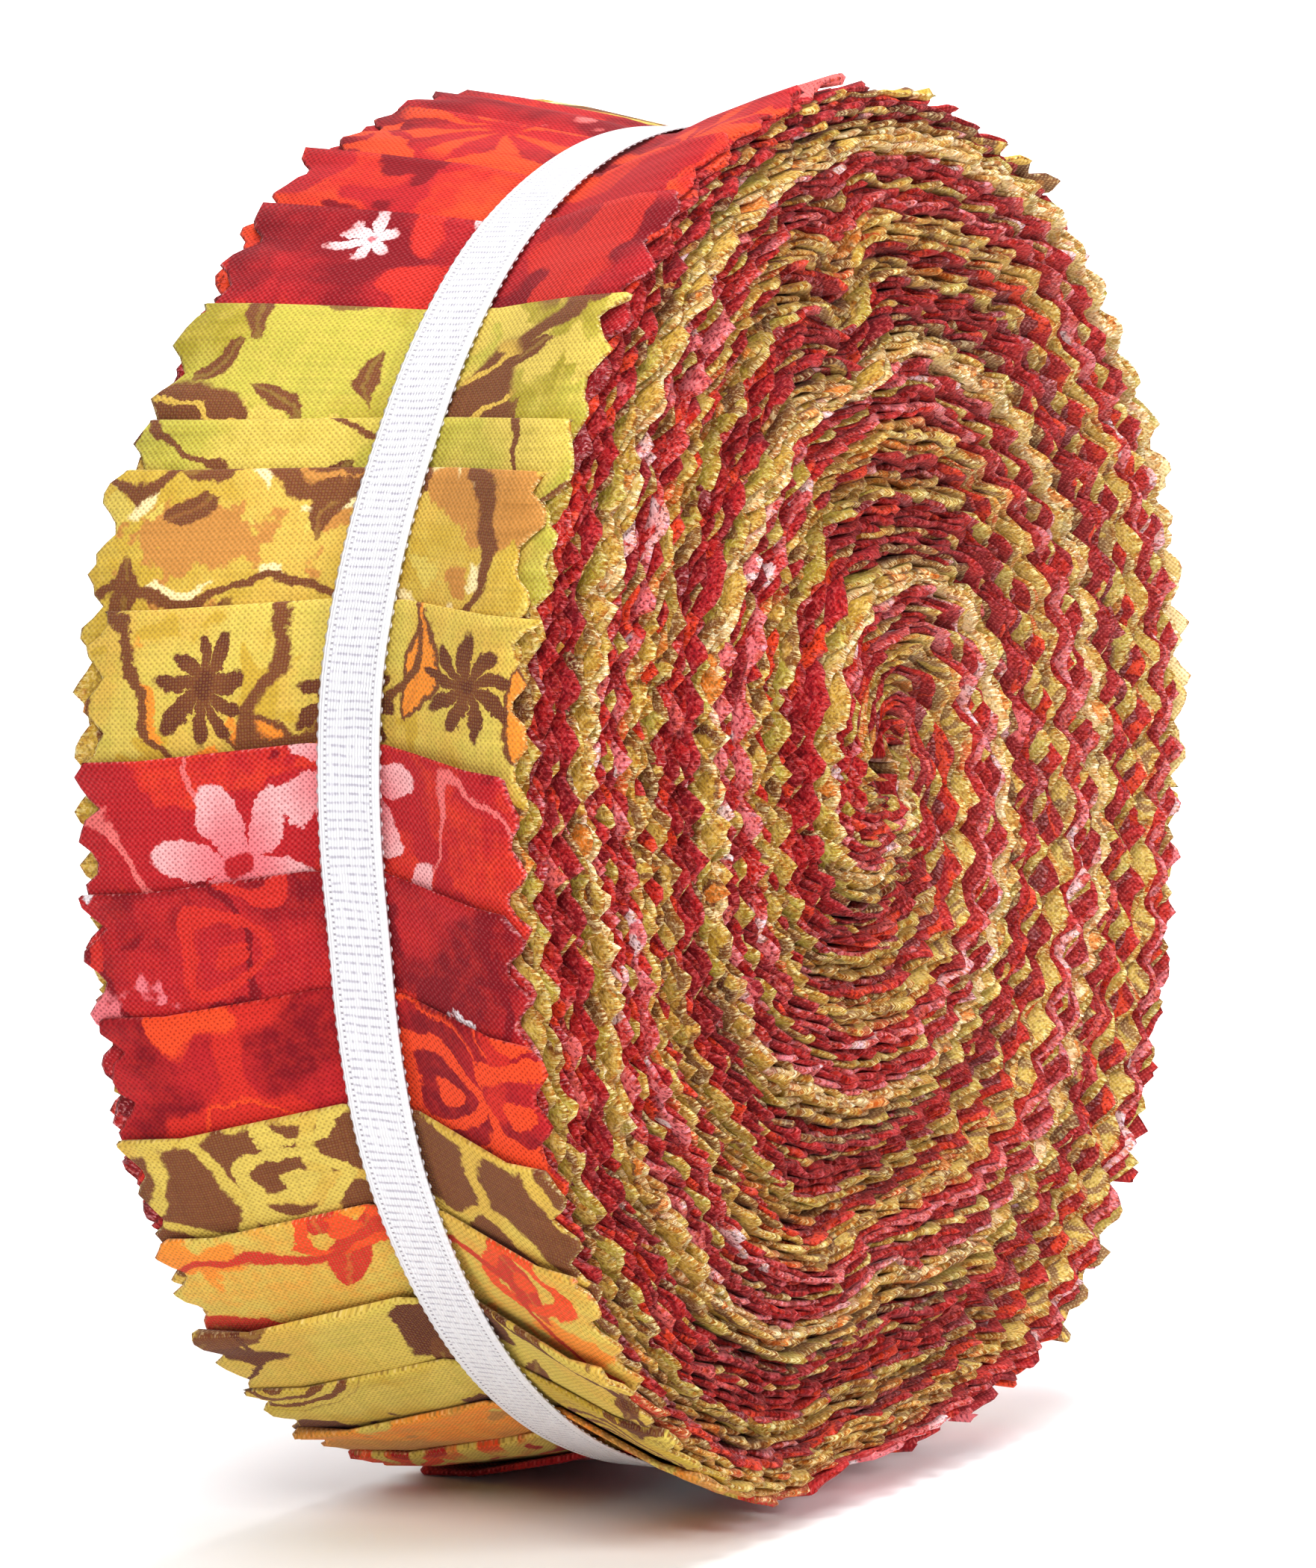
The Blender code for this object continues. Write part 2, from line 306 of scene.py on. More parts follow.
def cloth_section(from_end, notch_front, notch_back, shift, picks):
    """Loop of 16 points at each station: place across the strip, and height off its middle.

    Ten points go over the face side from the front edge to the back edge, and six return
    over the wrong side. The cloth is swollen beside its cut edges and at the strip's end.
    """
    rows = len(from_end)
    half = CLOTH / 2

    def swollen():
        return half * picks.uniform(1.2, 2.6, rows)

    y_front = -STRIP_WIDTH / 2 + notch_front + rough(picks, rows, 0.00030)
    y_back = STRIP_WIDTH / 2 - notch_back + rough(picks, rows, 0.00030)
    fixed = [np.full(rows, v) for v in (-0.0240, -0.0150, -0.0095, 0.0015, 0.0075, 0.0222)]
    face_side = [y_front, y_front + EDGE_BAND] + fixed + [y_back - EDGE_BAND, y_back]
    wrong_side = [y_back - EDGE_BAND, fixed[5], fixed[3], fixed[2], fixed[0], y_front + EDGE_BAND]
    across = np.stack(face_side + wrong_side, axis=1) + shift[:, None]

    flat = np.full(rows, half)
    swell = [np.zeros(rows), swollen()] + [flat] * 6 + [swollen(), np.zeros(rows)]
    swell += [-swollen()] + [-flat] * 4 + [-swollen()]
    thick_end = 1.0 + 0.9 * np.exp(-(from_end / 0.0016) ** 2)
    thick_end[-1] = 0.45
    return across, np.stack(swell, axis=1) * thick_end[:, None]


def edge_curl(index, s, degrees, phase, picks):
    """How far each point of the loop curls out of the stack.

    Curl = a quick wave along the strip + roughness, and at the front a nod of each tooth
    that neighbours share. It is whole at an edge and fades over the next two points.
    """
    nod = 0.00030 * np.cos(2 * math.pi * phase) * wave(degrees, 410, 40.0)
    curl_front = 0.00026 * wave(s, 500 + index, 0.009) + rough(picks, len(s), 0.00022) + nod
    curl_back = 0.00022 * wave(s, 600 + index, 0.009) + rough(picks, len(s), 0.00010)
    at_front = np.array([1.0, 0.85, 0.15, 0, 0, 0, 0, 0, 0, 0, 0, 0, 0, 0, 0.15, 0.85])
    at_back = np.array([0, 0, 0, 0, 0, 0, 0, 0.15, 0.85, 1.0, 0.85, 0.15, 0, 0, 0, 0])
    return curl_front[:, None] * at_front + curl_back[:, None] * at_back


def strip_marks(from_end, across):
    """Marks for the material: how frayed, how far on the wrong side, and how much painted shade
    falls on each point.

    The painted shade grows from the teeth's tips to 1 at 3 mm inside the strip's straight edge
    line, where the cut edges lie sunk between their neighbours, and it fades out towards the
    loose end, which lies open on the rim.
    """
    frayed = np.zeros(across.shape)
    frayed[:, [0, 9]] = 1.0
    frayed[:, [1, 8, 10, 15]] = (0.12 + 0.60 * np.clip((from_end - 0.018) / 0.008, 0.0, 1.0))[:, None]
    frayed[-1, :] = 0.5
    behind_front = (across[:, 0] + STRIP_WIDTH / 2 + 0.0006) / 0.0036
    behind_back = (STRIP_WIDTH / 2 + 0.0006 - across[:, 9]) / 0.0036
    # painted shade in the recesses between plies: 0 at the teeth's tips, 1 deep inside
    recess_shade = np.ones(across.shape)
    recess_shade[:, [0, 1, 15]] = np.clip(behind_front[:, None], 0.0, 1.0)
    recess_shade[:, [8, 9, 10]] = np.clip(behind_back[:, None], 0.0, 1.0)
    recess_shade *= np.clip((from_end - 0.020) / 0.008, 0.0, 1.0)[:, None]
    wrong = np.zeros(across.shape)
    wrong[:, 10:] = 1.0
    wrong[:, [0, 9]] = 0.5
    return {"frayed": frayed, "wrong_side": wrong, "recess_shade": recess_shade}


def wound_strip(index):
    """One strip: a thin closed band carried along its own spiral.

    Along the strip, angle runs from its start in the core to the strip's end, and the
    depth below the rim is one ply for each end passed. Plies bunch in groups of five and
    of eight. The strip's end reaches further round where the waist is drawn in, and it
    lifts and sags a little, except under the ribbon.
    """
    wound = index if index >= FIRST_STRIP else index + COUNT
    picks = np.random.default_rng(100 + index)
    s, degrees, length = stations_along(index, wound)
    from_end = length - s
    phase = tooth_phase(index, wound, s, degrees)
    notch_front, notch_back = notch_depths(index, s, phase, picks)
    shift = side_shift(index, s, degrees, from_end, picks)
    across, swell = cloth_section(from_end, notch_front, notch_back, shift, picks)

    bow = 0.0038 * np.exp(-np.maximum(from_end, 0.0) / 0.05)
    turned = degrees[:, None] - np.degrees(bow[:, None] * waist_share(across) / ROLL_RADIUS)
    depth = PLY * (plies_at(degrees) - wound)
    bunch = (0.00017 * math.sin(wound * 2 * math.pi / 5)
             + 0.00022 * math.sin(wound * 2 * math.pi / 8 + 1.0))
    depth = depth + bunch * np.clip(depth / 0.004, 0.0, 1.0)
    radius = rolled_radius(turned, across, np.maximum(depth, 0.0)[:, None])

    curl = edge_curl(index, s, degrees, phase, picks)
    pressed = 1.0 - 0.9 * np.exp(-((across - RIBBON_Y) / 0.009) ** 2)
    lift_end = 0.00035 * np.exp(-(from_end / 0.006) ** 2)
    loose = np.exp(-np.maximum(from_end, 0) / 0.03)
    sag = 0.00050 * wave(s, 700 + index, 0.022)[:, None] * loose[:, None]
    radius = radius - PLY * 0.5 + swell + curl + (lift_end[:, None] + sag) * pressed

    # on the floor the face side lies a little lower than the wrong side
    radius, lift, squeeze = settle(turned, radius)
    angle = np.radians(turned)
    x = CENTRE_X + radius * np.cos(angle) * squeeze
    z = CENTRE_Z + radius * np.sin(angle) + lift
    z = np.maximum(z, 0.0003 - 0.0002 * (np.arange(LOOP) < 10))
    points = np.stack([x, across, z], axis=-1).reshape(-1, 3)

    rows = len(s)
    quads = loop_faces(rows, LOOP, closed=False)[:, ::-1]
    caps = np.array([np.arange(LOOP), np.arange(LOOP)[::-1] + (rows - 1) * LOOP])
    along = np.broadcast_to(s[:, None], across.shape)
    uv = np.stack([along, across - shift[:, None]], axis=-1).reshape(-1, 2)
    thing = put_mesh(f"strip_{index + 1:02d}", points, [quads, caps], uv, strip_marks(from_end, across))
    return thing, length


def ribbon_band():
    """The ribbon: a thin closed band round the waist.

    Along it, the radius is the waist's, smoothed and a little over the strips, with a fine
    rib every 1.1 mm. Across it, a loop of 14 points has a firm selvedge at each side, and
    the side edges wave out into small loops of thread. The band drifts sideways in two
    slow sine waves.
    """
    rows = 2200
    angle = np.arange(rows) * 2 * math.pi / rows
    length = 2 * math.pi * WAIST_RADIUS
    along = angle / (2 * math.pi) * length
    drift = 0.0012 * np.sin(angle + 0.6) + 0.0006 * np.sin(2 * angle + 2.0)
    loops = 0.00022 * np.maximum(0.0, np.sin(along / EDGE_LOOP_PITCH * 2 * math.pi)) ** 0.6
    half = RIBBON_WIDTH / 2
    inset = [0.00035, 0.0011, 0.0016, 0.0035]
    left = [-half - loops] + [np.full(rows, -half + v) for v in inset]
    right = [np.full(rows, half - v) for v in inset[::-1]] + [half + loops[::-1]]
    under = [np.full(rows, v) for v in (half - 0.0006, half - 0.0035, -half + 0.0035, -half + 0.0006)]
    flat = np.stack(left + right + under, axis=1)
    across = flat + RIBBON_Y + drift[:, None]

    rib = 0.00009 * np.abs(np.sin(along / RIB_PITCH * math.pi)) ** 0.7
    high = np.array([0.0, 0.00030, 0.00030, 0.00016, 0.00016, 0.00016, 0.00016, 0.00030, 0.00030, 0.0])
    is_rib = np.array([0, 0, 0, 1, 1, 1, 1, 0, 0, 0])
    rise_top = high[None, :] + rib[:, None] * is_rib[None, :]
    rise = np.concatenate([rise_top, np.full((rows, len(under)), -0.00008)], axis=1)

    # the waist's radius, as a running mean over 41 stations
    waist = rolled_radius(np.degrees(angle), np.full(rows, RIBBON_Y), 0.0)
    padded = np.concatenate([waist[-20:], waist, waist[:20]])
    waist = np.convolve(padded, np.ones(41) / 41, mode="valid")
    radius = waist[:, None] + 0.0007 + rise
    x = CENTRE_X + radius * np.cos(angle)[:, None]
    z = CENTRE_Z + radius * np.sin(angle)[:, None]
    points = np.stack([x, across, z], axis=-1).reshape(-1, 3)
    quads = loop_faces(rows, across.shape[1], closed=True)
    place = across - RIBBON_Y - drift[:, None]
    uv = np.stack([np.broadcast_to(along[:, None], across.shape), place], axis=-1).reshape(-1, 2)
    return put_mesh("ribbon_band", points, [quads], uv, {}), length


class Cloth:
    """One cloth material, and short calls that add and join its shader nodes."""

    def __init__(self, name):
        self.material = bpy.data.materials.new(name)
        self.material.use_nodes = True
        self.tree = self.material.node_tree
        self.shader = self.tree.nodes["Principled BSDF"]
        read_uv = self.tree.nodes.new("ShaderNodeUVMap")
        read_uv.uv_map = "along_and_across"
        self.uv = read_uv.outputs[0]
        self.along, self.across = self.parts(self.uv)

    def join(self, value, socket):
        """Sets a socket to a number or colour, or links it to another node's output."""
        if isinstance(value, bpy.types.NodeSocket):
            self.tree.links.new(value, socket)
        else:
            socket.default_value = value

    def maths(self, operation, first, second=0.0, third=0.0):
        made = self.tree.nodes.new("ShaderNodeMath")
        made.operation = operation
        self.join(first, made.inputs[0])
        self.join(second, made.inputs[1])
        self.join(third, made.inputs[2])
        return made.outputs[0]

    def times(self, first, second):
        return self.maths("MULTIPLY", first, second)

    def plus(self, first, second):
        return self.maths("ADD", first, second)

    def minus(self, first, second):
        return self.maths("SUBTRACT", first, second)

    def scaled(self, value, factor, start):
        """Value x factor + start."""
        return self.maths("MULTIPLY_ADD", value, factor, start)

    def size_of(self, value):
        """The value without its sign."""
        return self.maths("ABSOLUTE", value)

    def sine(self, value):
        return self.maths("SINE", value)

    def cosine(self, value):
        return self.maths("COSINE", value)

    def far(self, x, y):
        """Distance from the middle: the root of x squared + y squared."""
        return self.maths("SQRT", self.plus(self.times(x, x), self.times(y, y)))

    def vector(self, operation, first, second=(0, 0, 0), scale=1.0):
        made = self.tree.nodes.new("ShaderNodeVectorMath")
        made.operation = operation
        self.join(first, made.inputs[0])
        if operation == "SCALE":
            made.inputs["Scale"].default_value = scale
        else:
            self.join(second, made.inputs[1])
        return made.outputs[0]

    def combined(self, x, y, z=0.0):
        """One vector or colour from three values."""
        made = self.tree.nodes.new("ShaderNodeCombineXYZ")
        self.join(x, made.inputs["X"])
        self.join(y, made.inputs["Y"])
        self.join(z, made.inputs["Z"])
        return made.outputs[0]

    def stretched(self, along, across):
        """The UV, with its two directions scaled apart."""
        return self.combined(self.times(self.along, along), self.times(self.across, across))

    def parts(self, vector):
        made = self.tree.nodes.new("ShaderNodeSeparateXYZ")
        self.join(vector, made.inputs[0])
        return made.outputs[0], made.outputs[1]

    def blend(self, share, first, second, how="MIX"):
        """A share of the second colour over the first."""
        made = self.tree.nodes.new("ShaderNodeMix")
        made.data_type = "RGBA"
        made.blend_type = how
        self.join(share, made.inputs[0])
        self.join((*first, 1.0) if isinstance(first, tuple) else first, made.inputs[6])
        self.join((*second, 1.0) if isinstance(second, tuple) else second, made.inputs[7])
        return made.outputs[2]

    def step(self, value, low, high):
        """Soft step from 0 at low to 1 at high."""
        made = self.tree.nodes.new("ShaderNodeMapRange")
        made.interpolation_type = "SMOOTHSTEP"
        self.join(value, made.inputs["Value"])
        made.inputs["From Min"].default_value = low
        made.inputs["From Max"].default_value = high
        return made.outputs["Result"]

    def noise(self, where, scale, detail=3.0, roughness=0.55, distortion=0.0, output="Fac"):
        made = self.tree.nodes.new("ShaderNodeTexNoise")
        made.noise_dimensions = "2D"
        self.join(where, made.inputs["Vector"])
        made.inputs["Scale"].default_value = scale
        made.inputs["Detail"].default_value = detail
        made.inputs["Roughness"].default_value = roughness
        made.inputs["Distortion"].default_value = distortion
        return made.outputs[output]

    def scatter(self, where, scale, detail, roughness, reach):
        """Random small moves: a colour noise less a half, times their reach in metres."""
        colour = self.noise(where, scale, detail, roughness, output="Color")
        return self.vector("SCALE", self.vector("SUBTRACT", colour, (0.5, 0.5, 0.5)), scale=reach)

    def cells(self, where, scale, feature="F1", randomness=0.9):
        made = self.tree.nodes.new("ShaderNodeTexVoronoi")
        made.voronoi_dimensions = "2D"
        made.feature = feature
        self.join(where, made.inputs["Vector"])
        made.inputs["Scale"].default_value = scale
        made.inputs["Randomness"].default_value = randomness
        return made

    def read(self, mark):
        """One of the marks that the mesh carries."""
        made = self.tree.nodes.new("ShaderNodeAttribute")
        made.attribute_name = mark
        return made.outputs["Fac"]

    def relief(self, height, strength, distance):
        """Bumps on the surface from a height."""
        bump = self.tree.nodes.new("ShaderNodeBump")
        bump.inputs["Strength"].default_value = strength
        bump.inputs["Distance"].default_value = distance
        self.join(height, bump.inputs["Height"])
        self.join(bump.outputs[0], self.shader.inputs["Normal"])


class Cotton(Cloth):
    """Quilting cotton, whose motifs read the strip's own UV in metres.

    A motif takes the colour so far and returns it with the motif printed over. Its scale
    is the number of cells or waves in a metre, its shift moves it to another place in the
    pattern, and keep is the share of cells left empty.
    """

    def __init__(self, name, seed):
        super().__init__(name)
        picks = np.random.default_rng(seed)
        offset = (float(picks.uniform(0, 3)), float(picks.uniform(0, 3)), 0.0)
        self.where = self.vector("ADD", self.uv, offset)
        slow = self.scatter(self.where, 90.0, 2.0, 0.5, 0.006)
        fine = self.scatter(self.where, 1100.0, 2.5, 0.7, 0.0012)
        self.bent = self.vector("ADD", self.vector("ADD", self.where, slow), fine)

    def turned_cell(self, scale, shift):
        """Place in the nearest of many random cells, each turned its own way, and its chance."""
        moved = self.vector("ADD", self.bent, (shift, shift * 0.7, 0))
        cell = self.cells(moved, scale, randomness=0.75)
        local = self.vector("SUBTRACT", moved, cell.outputs["Position"])
        lx, ly = self.parts(local)
        tone = self.tree.nodes.new("ShaderNodeSeparateColor")
        self.join(cell.outputs["Color"], tone.inputs[0])
        spin = self.times(tone.outputs[0], FULL_TURN)
        cosine = self.cosine(spin)
        sine = self.sine(spin)
        px = self.plus(self.times(lx, cosine), self.times(ly, sine))
        py = self.minus(self.times(ly, cosine), self.times(lx, sine))
        return px, py, tone.outputs[1]

    def flower(self, colour, tint, heart, scale, size, petals, sharp, shift, keep=0.0):
        """Flowers: inside where far < reach, and reach is a power of a cosine of the angle."""
        px, py, chance = self.turned_cell(scale, shift)
        far = self.far(px, py)
        spin = self.maths("ARCTAN2", py, px)
        lobe = self.size_of(self.cosine(self.times(spin, petals / 2.0)))
        lobe = self.maths("POWER", lobe, sharp)
        reach = self.scaled(lobe, size * 0.75, size * 0.25)
        inside = self.step(self.minus(reach, far), 0.0, 0.0006)
        inside = self.times(inside, self.step(chance, keep, keep + 0.02))
        shade = self.step(far, size * 0.2, size)
        petal = self.blend(shade, tint[0], tint[1])
        colour = self.blend(inside, colour, petal)
        middle = self.step(self.minus(size * 0.2, far), 0.0, 0.0005)
        middle = self.times(middle, self.step(chance, keep, keep + 0.02))
        return self.blend(middle, colour, heart)

    def leaves(self, colour, tint, scale, long, wide, shift, keep=0.0, outline=None):
        """Bent leaves: inside where the distance to a parabola < width x (1 - along squared)."""
        px, py, chance = self.turned_cell(scale, shift)
        along = self.maths("DIVIDE", px, long)
        bow = self.times(self.times(px, px), 35.0)
        side = self.size_of(self.minus(py, bow))
        room = self.times(self.minus(1.0, self.times(along, along)), wide)
        inside = self.step(self.minus(room, side), 0.0, 0.0004)
        inside = self.times(inside, self.step(chance, keep, keep + 0.02))
        if outline:
            colour = self.blend(inside, colour, outline)
            inside = self.times(inside, self.step(self.minus(room, side), 0.0008, 0.0012))
        vein = self.step(side, 0.0001, 0.0005)
        inside = self.times(inside, self.scaled(vein, 0.2, 0.8))
        return self.blend(inside, colour, tint)

    def stems(self, colour, tint, scale, width, side=None):
        """Stems: thin contour lines of a slow noise, with a broken second line beside them."""
        level = self.noise(self.vector("ADD", self.bent, (0.31, 0.17, 0)), scale, 0.6)
        if side:
            beside = self.size_of(self.minus(level, 0.5 + width * 1.2))
            broken = self.step(self.noise(self.bent, 140.0, 1.0), 0.50, 0.55)
            second = self.times(broken, self.step(self.minus(width, beside), 0.0, width * 0.4))
            colour = self.blend(second, colour, side)
        line = self.size_of(self.minus(level, 0.5))
        return self.blend(self.step(self.minus(width, line), 0.0, width * 0.4), colour, tint)

    def blots(self, colour, tint, scale, low, shift, rag=3.0):
        """Ragged blots: where a noise is over a level."""
        level = self.noise(self.vector("ADD", self.bent, (shift, -shift, 0)), scale, rag, 0.6)
        return self.blend(self.step(level, low, low + 0.03), colour, tint)

    def coral(self, colour, tint, scale, low, line_tint, line_scale, width, shift):
        """Patches where a slow noise is over a level, with contour lines of a finer one inside."""
        slow = self.noise(self.vector("ADD", self.bent, (shift, shift, 0)), scale, 1.0)
        patch = self.step(slow, low, low + 0.02)
        level = self.noise(self.vector("ADD", self.bent, (-shift, shift, 0)), line_scale, 0.4)
        beside = self.size_of(self.minus(level, 0.5))
        line = self.step(self.minus(width, beside), 0.0, width * 0.3)
        return self.blend(self.times(patch, line), self.blend(patch, colour, tint), line_tint)

    def spots(self, colour, tint, scale, gap):
        """Large spots: cells, less a gap along their edges."""
        cell = self.cells(self.bent, scale, "DISTANCE_TO_EDGE", 0.85)
        return self.blend(self.step(cell.outputs["Distance"], gap, gap + 0.05), colour, tint)

    def rings(self, colour, tint, scale, pitch, shift, keep=0.3, turns=1.75):
        """Rings and drops: a sine of the distance from each cell, out to some turns."""
        px, py, chance = self.turned_cell(scale, shift)
        px = self.scaled(self.size_of(py), 0.5, px)
        far = self.far(px, py)
        band = self.sine(self.times(far, FULL_TURN / pitch))
        near = self.step(self.minus(pitch * turns, far), 0.0, 0.0008)
        mark = self.times(self.step(band, -0.1, 0.25), near)
        mark = self.times(mark, self.step(chance, keep, keep + 0.02))
        return self.blend(mark, colour, tint)

    def streaks(self, colour, tint, scale, shift, keep=0.35):
        """Rays round each cell: a sine of nine times the angle, between 1.2 and 15 mm out."""
        px, py, chance = self.turned_cell(scale, shift)
        spin = self.maths("ARCTAN2", py, px)
        far = self.far(px, py)
        rays = self.sine(self.times(spin, 9.0))
        near = self.step(self.minus(0.0150, far), 0.0, 0.0035)
        near = self.times(self.step(far, 0.0012, 0.0030), near)
        mark = self.times(self.step(rays, 0.1, 0.6), near)
        mark = self.times(mark, self.step(chance, keep, keep + 0.02))
        return self.blend(mark, colour, tint)

    def ground(self, colours):
        """Mottled ground: two colours in blotches, speckled with a third."""
        blotch = self.step(self.noise(self.bent, 55.0, 3.0), 0.40, 0.60)
        colour = self.blend(blotch, colours[0], colours[1])
        speckle = self.step(self.noise(self.where, 420.0, 2.0, 0.7), 0.35, 0.75)
        return self.blend(self.times(speckle, 0.35), colour, colours[2])

    def weave(self):
        """Plain weave: the product of two sines, one for each way of the threads, both bent
        by the same noise."""
        slub = self.times(self.noise(self.where, 500.0, 2.0), 2.4)
        across_thread = self.sine(self.scaled(self.along, 2 * math.pi / THREAD, slub))
        along_thread = self.sine(self.scaled(self.across, 2 * math.pi / THREAD, slub))
        return self.times(across_thread, along_thread)

    def threads(self, colour, weave, gap, pale):
        """Thread by thread: painted shade in the gaps, painted highlights on the tops, and near the cut edges
        a nap of fibres.
        """
        yarn = self.plus(self.noise(self.stretched(60.0, 2600.0), 1.0, 1.0),
                         self.noise(self.stretched(2600.0, 60.0), 1.0, 1.0))
        tone = self.scaled(yarn, 0.28, 0.80)
        near = self.step(self.read("frayed"), 0.05, 0.60)
        nap = self.step(self.noise(self.where, 1500.0, 2.0, 0.6), 0.34, 0.66)
        grain = self.scaled(self.noise(self.where, 2300.0, 1.0), 0.5, self.scaled(weave, 0.5, 0.25))
        napped = self.times(near, 0.65)
        grain = self.plus(self.times(grain, self.minus(1.0, napped)), self.times(nap, napped))
        # painted shade in the gaps between the threads and fibres
        gap_shading = self.times(self.step(grain, 0.48, 0.08), self.scaled(near, 0.30, 0.52))
        colour = self.blend(gap_shading, colour, gap)
        # painted highlight on the tops of the threads and fibres
        shine = self.times(self.step(grain, 0.60, 0.95), self.scaled(near, 0.34, 0.06))
        colour = self.blend(shine, colour, pale)
        colour = self.blend(1.0, colour, self.combined(tone, tone, tone), "MULTIPLY")
        return colour, grain

    def wrong_side(self, colour, weave, pale, share):
        """Paler between the threads on the side that isn't printed."""
        between = self.scaled(self.step(weave, 0.1, 0.8), 0.26, share)
        return self.blend(self.times(self.read("wrong_side"), between), colour, pale)

    def cut_edge(self, colour, frayed, edge):
        """A comb of yarn ends, pale and dark, with painted shade in the pits between them. Returns the lumps
        too.
        """
        comb = self.noise(self.stretched(3200.0, 700.0), 1.0, 2.0, 0.6, 0.8)
        tuft = self.noise(self.where, 1000.0, 3.0, 0.6, 0.4)
        colour = self.blend(self.times(frayed, edge["warm"]), colour, edge["glow"])
        pale_ends = self.times(self.step(comb, 0.52, 0.62), edge["fringe"])
        colour = self.blend(self.times(frayed, pale_ends), colour, edge["pale"])
        dark_ends = self.times(self.step(tuft, 0.57, 0.66), 0.45)
        colour = self.blend(self.times(frayed, dark_ends), colour, edge["dark"])
        lump = self.scaled(comb, 0.6, self.times(tuft, 0.4))
        # painted shade: darker and warmer in the pits between the lumps of yarn ends
        pit_shade = self.scaled(self.step(lump, 0.38, 0.60), 0.70, 0.45)
        pit_shade = self.scaled(frayed, self.minus(pit_shade, 1.0), 1.0)
        shade = self.combined(*[self.maths("POWER", pit_shade, power) for power in (0.7, 1.6, 2.4)])
        return self.blend(1.0, colour, shade, "MULTIPLY"), lump


def printed_cotton(name, design, seed):
    """Quilting cotton: a mottled ground, the print's motifs, then thread and cut edge."""
    cotton = Cotton(name, seed)
    colour = cotton.ground(design["ground"])
    for kind, values in design["motifs"]:
        colour = MOTIFS[kind](cotton, colour, *values)

    weave = cotton.weave()
    colour, grain = cotton.threads(colour, weave, design["gap"], design["pale"])
    colour = cotton.wrong_side(colour, weave, design["pale"], 0.10)
    frayed = cotton.step(cotton.read("frayed"), 0.50, 0.95)
    colour, lump = cotton.cut_edge(colour, frayed, design)
    # painted shade: darker and redder where the cut edges lie in recesses between plies
    in_shade = cotton.blend(1.0, colour, (0.66, 0.50, 0.48), "MULTIPLY")
    colour = cotton.blend(cotton.read("recess_shade"), colour, in_shade)
    cotton.join(colour, cotton.shader.inputs["Base Color"])

    fuzz = cotton.noise(cotton.where, 2600.0, 2.0, 0.8)
    fuzz = cotton.times(fuzz, cotton.scaled(frayed, 1.6, 0.25))
    height = cotton.plus(cotton.times(grain, 0.9), fuzz)
    height = cotton.plus(height, cotton.times(cotton.times(lump, frayed), 2.6))
    cotton.relief(height, 0.8, 0.00011)
    cotton.shader.inputs["Roughness"].default_value = 1.0
    cotton.shader.inputs["Sheen Weight"].default_value = 0.06
    cotton.shader.inputs["Sheen Roughness"].default_value = 0.5
    cotton.shader.inputs["Specular IOR Level"].default_value = 0.08
    return cotton.material


MOTIFS = {"flower": Cotton.flower, "leaves": Cotton.leaves, "stems": Cotton.stems,
          "blots": Cotton.blots, "coral": Cotton.coral, "spots": Cotton.spots,
          "rings": Cotton.rings, "streaks": Cotton.streaks}

# Cloth colours, linear red, green and blue
CRIMSON = (0.42, 0.014, 0.018)
DEEP_RED = (0.20, 0.006, 0.011)
SCARLET = (0.55, 0.024, 0.016)
FLAME = (0.76, 0.062, 0.016)
ORANGE = (0.82, 0.24, 0.025)
TAN = (0.50, 0.21, 0.045)
MUSTARD = (0.52, 0.33, 0.035)
OLIVE = (0.34, 0.27, 0.020)
LIME = (0.47, 0.41, 0.055)
GOLD = (0.62, 0.39, 0.065)
YELLOW = (0.62, 0.46, 0.085)
CREAM = (0.86, 0.68, 0.34)
BROWN = (0.10, 0.022, 0.014)
UMBER = (0.15, 0.042, 0.018)
PINK = (0.72, 0.16, 0.18)
BLUSH = (0.82, 0.40, 0.40)
WHITE = (0.82, 0.74, 0.76)
PALE_RED = (0.72, 0.14, 0.13)
PALE_GOLD = (0.90, 0.72, 0.36)
PALE_CREAM = (0.93, 0.80, 0.54)
# colour of the painted shade between the threads of the golden and cream prints
GOLD_GAP_SHADE = (0.26, 0.14, 0.035)


def red_print(ground, pale, motifs):
    """A dark print: its cut edge keeps the cloth's colours."""
    dark = tuple(v * 0.45 for v in ground[1])
    # colour of the painted shade between the threads
    gap = tuple(v * 0.5 for v in DEEP_RED)
    return dict(ground=ground, pale=pale, gap=gap, fringe=0.30, warm=0.0, glow=pale, dark=dark, motifs=motifs)


def gold_print(ground, glow, motifs, warm=0.25):
    """A golden print: its cut edge glows in another colour, with pale and dark yarn ends."""
    return dict(ground=ground, pale=PALE_GOLD, gap=GOLD_GAP_SHADE, fringe=0.6, warm=warm, glow=glow, dark=UMBER,
                motifs=motifs)


def cream_print(ground, motifs):
    """A cream print: the palest cut edge."""
    return dict(ground=ground, pale=PALE_CREAM, gap=GOLD_GAP_SHADE, fringe=0.7, warm=0.25, glow=CREAM, dark=TAN,
                motifs=motifs)


